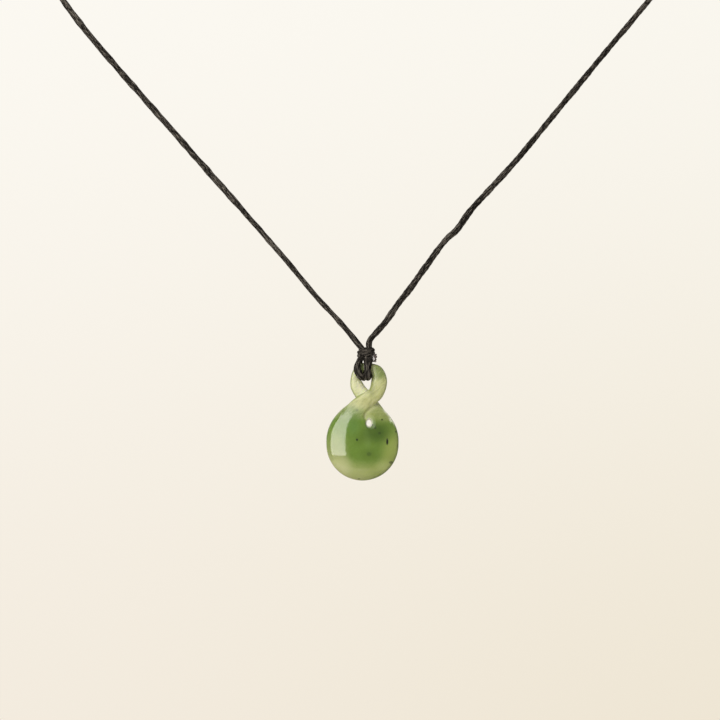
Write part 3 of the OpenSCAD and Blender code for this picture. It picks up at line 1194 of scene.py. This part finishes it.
class PENDANT_OT_binding_knot(bpy.types.Operator):
    """Makes the wound binding above the stone and its cut ends"""

    bl_idname = "pendant.binding_knot"
    bl_label = "Binding knot"

    def execute(self, context):
        cord = context.scene.pendant_cord
        material = bpy.data.materials["waxed cord"]
        parts = []
        for k, (*turn, half) in enumerate(BINDING_TURNS):
            line, marks = even_steps(wrap_path(*turn), BINDING_STEP)
            size = np.full(len(line), half * MM)
            look = (cord, BINDING_SIDES, BINDING_SEED + k)
            parts.append(cord_mesh(line, marks, (0, 0, 1), size, size, *look))

        # The cords inside the turns, which taper to both ends
        core = smoothed(np.array(BINDING_CORE) * MM + SWING, 6)
        line, marks = even_steps(core, BINDING_STEP)
        swell = np.sin(np.linspace(0.35, math.pi - 0.35, len(line))) ** 0.5 * MM
        look = (cord, BINDING_SIDES, CORE_SEED)
        parts.append(cord_mesh(line, marks, (1, 0, 0), 1.5 * swell, 1.2 * swell, *look))
        made = merged_piece("binding_turns", parts)
        shade(made, material)
        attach(made, "necklace")
        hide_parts("binding_knot")

        parts = []
        for k, (base, tip, half) in enumerate(CUT_ENDS):
            ends = np.array([base, tip]) * MM + SWING
            line, marks = even_steps(ends, END_STEP)
            taper = np.linspace(1, 0, len(line)) ** 0.32 * half * MM
            taper *= 1 + 0.25 * rumple(marks, 0.0003, END_SEED + k)
            look = (cord, END_SIDES, END_SEED + k)
            parts.append(cord_mesh(line, marks, (0, 0, 1), taper, 0.8 * taper, *look))
        made = merged_piece("melted_cord_ends", parts)
        shade(made, melted_finish())
        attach(made, "necklace")
        return {"FINISHED"}


class PENDANT_OT_stone(bpy.types.Operator):
    """Makes the polished greenstone from the carved solid"""

    bl_idname = "pendant.stone"
    bl_label = "Greenstone"

    def execute(self, context):
        stone = context.scene.pendant_stone
        corners, faces = hole_mesh()
        cutter = object_from("hole_cutter", hung(corners), faces)
        outwards(cutter)
        solids = []
        for corners, faces in (strand_mesh(FRONT_STRAND), strand_mesh(BACK_STRAND), drop_mesh()):
            solid = object_from("polished_greenstone", hung(corners), faces)
            outwards(solid)
            applied(solid, "BOOLEAN", operation="DIFFERENCE", object=cutter)
            solids.append(solid)
        bpy.data.objects.remove(cutter)
        nothing_selected()
        for solid in solids:
            solid.select_set(True)
        made = solids[0]
        context.view_layer.objects.active = made
        bpy.ops.object.join()
        made.name = "polished_greenstone"
        applied(made, "REMESH", mode="VOXEL", voxel_size=stone.grain)
        polish(made, 8)
        carve(made)
        polish(made, 10)
        rub_rim(made)
        outwards(made)
        give_marks(made)
        shade(made, stone_finish(stone))
        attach(made, "stone")
        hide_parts("greenstone_twist")
        return {"FINISHED"}


class PENDANT_OT_barrel(bpy.types.Operator):
    """Finishes the plain barrel at the nape"""

    bl_idname = "pendant.barrel"
    bl_label = "Nape barrel"

    def execute(self, context):
        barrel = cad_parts["nape_barrel"]
        material = barrel_finish()
        for slot in barrel.material_slots:
            slot.material = material
        return {"FINISHED"}


def just_added(name):
    """The object that an operator has just added, named, with its place applied"""
    made = bpy.context.object
    made.name = name
    bpy.ops.object.transform_apply(location=True, rotation=True, scale=True)
    return made


def add_backdrop():
    """A cream backdrop that glows a little darker to the right and the foot, and is clear behind"""
    place = (0, BACKDROP_AWAY, VIEW_HEIGHT)
    nothing_selected()
    bpy.ops.mesh.primitive_plane_add(size=1.6, location=place, rotation=(math.pi / 2, 0, 0))
    backdrop = just_added("backdrop")
    finish = Finish("cream backdrop", Roughness=1.0)
    x, _, z = finish.axes(finish.place(place, BACKDROP_HALF_VIEW))
    across = finish.step(x, -1.3, 1.3)
    down = finish.step(0 - z, -1.3, 1.3)
    top = finish.mix(across, srgb(252, 249, 242), srgb(250, 247, 239))
    foot = finish.mix(across, srgb(243, 235, 222), srgb(238, 229, 211))
    light = {"Color": finish.mix(down, top, foot), "Strength": 1.0}
    glow = finish.node("ShaderNodeEmission", {}, light).outputs[0]
    clear = finish.node("ShaderNodeBsdfTransparent", {}, {}).outputs[0]
    behind = finish.node("ShaderNodeNewGeometry", {}, {}).outputs["Backfacing"]
    either = finish.node("ShaderNodeMixShader", {}, {0: behind, 1: glow, 2: clear})
    finish.join(finish.output.inputs["Surface"], either.outputs[0])
    backdrop.data.materials.append(finish.material)
    return backdrop


def add_floor():
    """A pale floor under the pendant"""
    place = (0, -0.06, FLOOR_HEIGHT)
    nothing_selected()
    bpy.ops.mesh.primitive_circle_add(vertices=96, radius=0.42, fill_type="NGON", location=place)
    floor = just_added("floor")
    finish = Finish("pale floor", Roughness=0.9)
    mottle = finish.noise(finish.place((0, 0, 0), 0.05), 1.0)
    finish.set(Base_Color=finish.mix(mottle, srgb(246, 240, 229), srgb(240, 233, 220)))
    floor.data.materials.append(finish.material)
    return floor


def add_lamps(stage):
    """Two softboxes that only reflect in the stone, and a soft key that only lights it

    The left softbox faces to the right and is tilted a little. The others face the drop.
    """
    to_the_right = Matrix.Rotation(math.radians(8.0), 3, "X") @ Matrix.Rotation(
        math.radians(-90), 3, "Y"
    )
    lamps = (
        ("softbox_left", (-0.25, -0.636, 0.011), (0.60, 0.66), stage.softbox_glow, to_the_right),
        ("softbox_right", (0.42, -0.12, 0.13), (0.34, 0.06), 4.0, None),
        ("soft_key", (-0.35, -0.80, 0.35), (0.5, 0.5), stage.key_glow, None),
    )
    for name, place, (wide, deep), glow, turned in lamps:
        light = bpy.data.lights.new(name, "AREA")
        light.shape = "RECTANGLE"
        light.size = wide
        light.size_y = deep
        light.energy = math.pi * wide * deep * glow
        light.color = (1.0, 0.97, 0.89)
        lamp = bpy.data.objects.new(name, light)
        bpy.context.scene.collection.objects.link(lamp)
        lamp.location = place
        if turned is None:
            towards = Vector(hung([DROP_CENTRE])[0]) - lamp.location
            turned = towards.to_track_quat("-Z", "Y").to_matrix()
        lamp.rotation_euler = turned.to_euler()
        lamp.visible_camera = False
        lamp.visible_diffuse = name == "soft_key"
        lamp.visible_glossy = name != "soft_key"


def add_room(stage):
    """The pale room round the pendant, which is brighter to the camera than on the pieces"""
    world = bpy.data.worlds.new("pale room")
    world.use_nodes = True
    nodes = Nodes(world.node_tree)
    seen = nodes.node("ShaderNodeLightPath", {}, {}).outputs["Is Camera Ray"]
    levels = {"Value": seen, "To Min": stage.air_glow, "To Max": 0.95}
    background = nodes.tree.nodes["Background"]
    nodes.join(background.inputs["Color"], srgb(247, 241, 231))
    strength = nodes.number("ShaderNodeMapRange", {}, levels)
    nodes.join(background.inputs["Strength"], strength)
    bpy.context.scene.world = world


class PENDANT_OT_stage(bpy.types.Operator):
    """Adds the pale backdrop, the floor, the lamps and the room's light"""

    bl_idname = "pendant.stage"
    bl_label = "Stage"

    def execute(self, context):
        backdrop = add_backdrop()
        floor = add_floor()
        add_lamps(context.scene.pendant_stage)
        add_room(context.scene.pendant_stage)
        context.scene.view_settings.view_transform = "Standard"
        context.scene.view_settings.look = "None"
        return {"FINISHED"}


class PENDANT_PT_sidebar(bpy.types.Panel):
    """Lists the pendant's pieces and their settings"""

    bl_idname = "PENDANT_PT_sidebar"
    bl_label = "Greenstone twist pendant"
    bl_space_type = "VIEW_3D"
    bl_region_type = "UI"
    bl_category = "Pendant"

    def draw(self, context):
        for operator in OPERATORS:
            self.layout.operator(operator.bl_idname)
        for name in GROUPS:
            group = getattr(context.scene, name)
            box = self.layout.box()
            for key in group.__annotations__:
                box.prop(group, key)


OPERATORS = (
    PENDANT_OT_camera,
    PENDANT_OT_neck_cords,
    PENDANT_OT_eye_loops,
    PENDANT_OT_binding_knot,
    PENDANT_OT_stone,
    PENDANT_OT_barrel,
    PENDANT_OT_stage,
)
GROUPS = {
    "pendant_cord": PendantCord,
    "pendant_stone": PendantStone,
    "pendant_stage": PendantStage,
}
CLASSES = (*GROUPS.values(), *OPERATORS, PENDANT_PT_sidebar)


def register():
    for item in CLASSES:
        bpy.utils.register_class(item)
    for name, group in GROUPS.items():
        setattr(bpy.types.Scene, name, PointerProperty(type=group))


def unregister():
    for name in GROUPS:
        delattr(bpy.types.Scene, name)
    for item in reversed(CLASSES):
        bpy.utils.unregister_class(item)


def main():
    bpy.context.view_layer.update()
    register()
    bpy.ops.pendant.camera()
    bpy.ops.pendant.neck_cords()
    bpy.ops.pendant.eye_loops()
    bpy.ops.pendant.binding_knot()
    bpy.ops.pendant.stone()
    bpy.ops.pendant.barrel()
    bpy.ops.pendant.stage()


if __name__ == "__main__":
    main()
